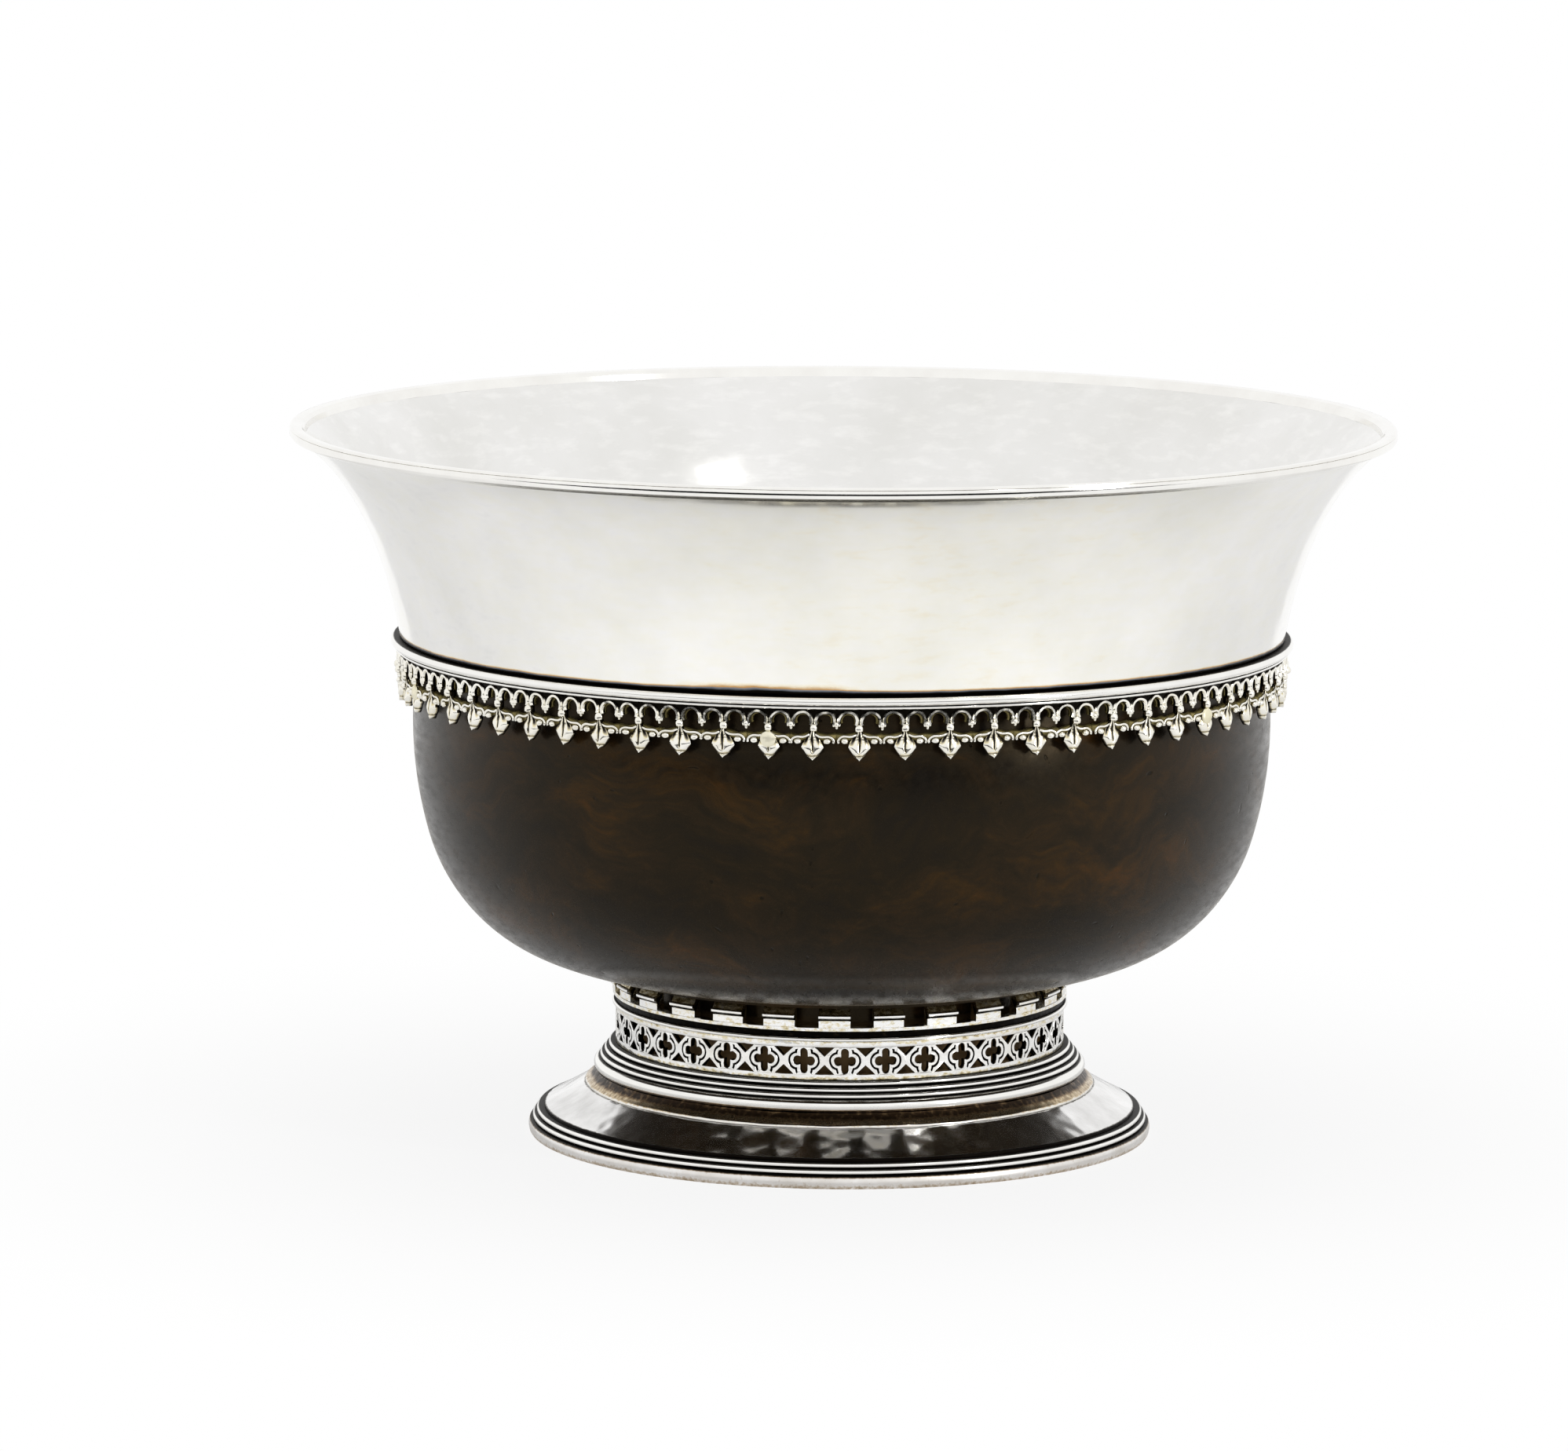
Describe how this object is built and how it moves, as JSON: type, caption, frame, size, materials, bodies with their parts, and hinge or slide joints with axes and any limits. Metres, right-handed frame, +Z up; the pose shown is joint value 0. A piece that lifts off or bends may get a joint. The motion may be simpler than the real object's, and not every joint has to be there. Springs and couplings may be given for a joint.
{
  "type": "mazer bowl",
  "caption": "Turned burr-wood drinking bowl with a flared silver rim band, a hanging cresting of arches and fleurs-de-lis, and a moulded, pierced silver foot.",
  "frame": {"origin": "centre of the foot's underside, on the bowl's axis", "axes": "+Z up along the bowl's axis, -Y towards the front of the picture's view, +X to the viewer's right"},
  "size_m": [0.178, 0.178, 0.1155],
  "materials": {
    "burr_wood": "dark turned burr wood, waxed to a satin polish",
    "planished_silver": "sheet silver raised and planished with a hammer, softly polished",
    "bright_silver": "drawn silver wire, polished, with tarnish in the grooves",
    "cast_silver": "cast and pierced silver, polished on the raised parts and darkened in the hollows",
    "dull_silver": "silver left with a soft, slightly tarnished surface"
  },
  "bodies": {
    "root": {"bowl": "burr_wood", "rim_band": "planished_silver", "lip_wire": "bright_silver", "inner_collar": "planished_silver", "ring_bead": "bright_silver", "ring_fillet": "bright_silver", "cresting_arcade": "cast_silver", "cresting_fleurs": "cast_silver", "rim_pins": "cast_silver", "battlement_collar": "cast_silver", "neck_wire": "bright_silver", "pierced_band": "cast_silver", "foot_bead_upper": "bright_silver", "foot_bead_middle": "bright_silver", "foot_bead_lower": "bright_silver", "torus_ring": "bright_silver", "step_moulding": "dull_silver", "foot_skirt": "planished_silver", "reed_upper": "bright_silver", "reed_lower": "bright_silver", "base_band": "dull_silver", "foot_plate": "dull_silver", "print_boss": "planished_silver", "print_border": "bright_silver", "fixing_stud": "dull_silver", "fixing_washer": "dull_silver", "fixing_nut": "dull_silver"}
  },
  "joints": []
}
